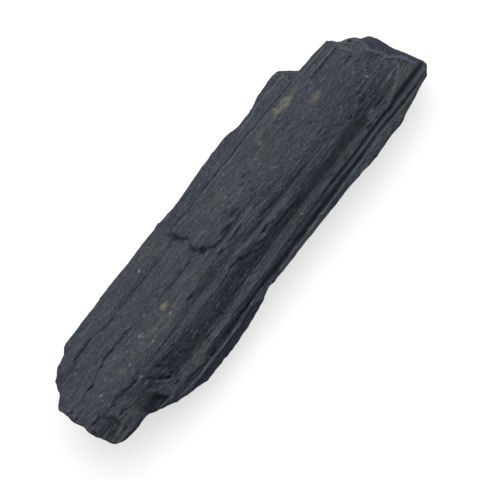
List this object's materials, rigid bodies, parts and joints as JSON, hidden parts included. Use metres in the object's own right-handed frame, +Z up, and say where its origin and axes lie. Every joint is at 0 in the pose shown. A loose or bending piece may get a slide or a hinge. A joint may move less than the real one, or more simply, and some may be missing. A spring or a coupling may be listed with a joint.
{
  "type": "tourmaline crystal",
  "caption": "Rough black tourmaline rod lying on its side: grooved parallel columns grown into one solid, with broken ends, a raised plate and chipped hollows.",
  "frame": {"origin": "bottom centre of the bounding box, on the surface the crystal rests on", "axes": "+X along the crystal towards the end that has the broken-off side column, +Y across it towards that column, +Z up"},
  "size_m": [0.09, 0.026, 0.018],
  "materials": {
    "schorl": "dull glassy near-black stone, striated along its length, with a few pale and rusty stains"
  },
  "bodies": {
    "root": {"tourmaline_crystal": "schorl"}
  },
  "joints": []
}
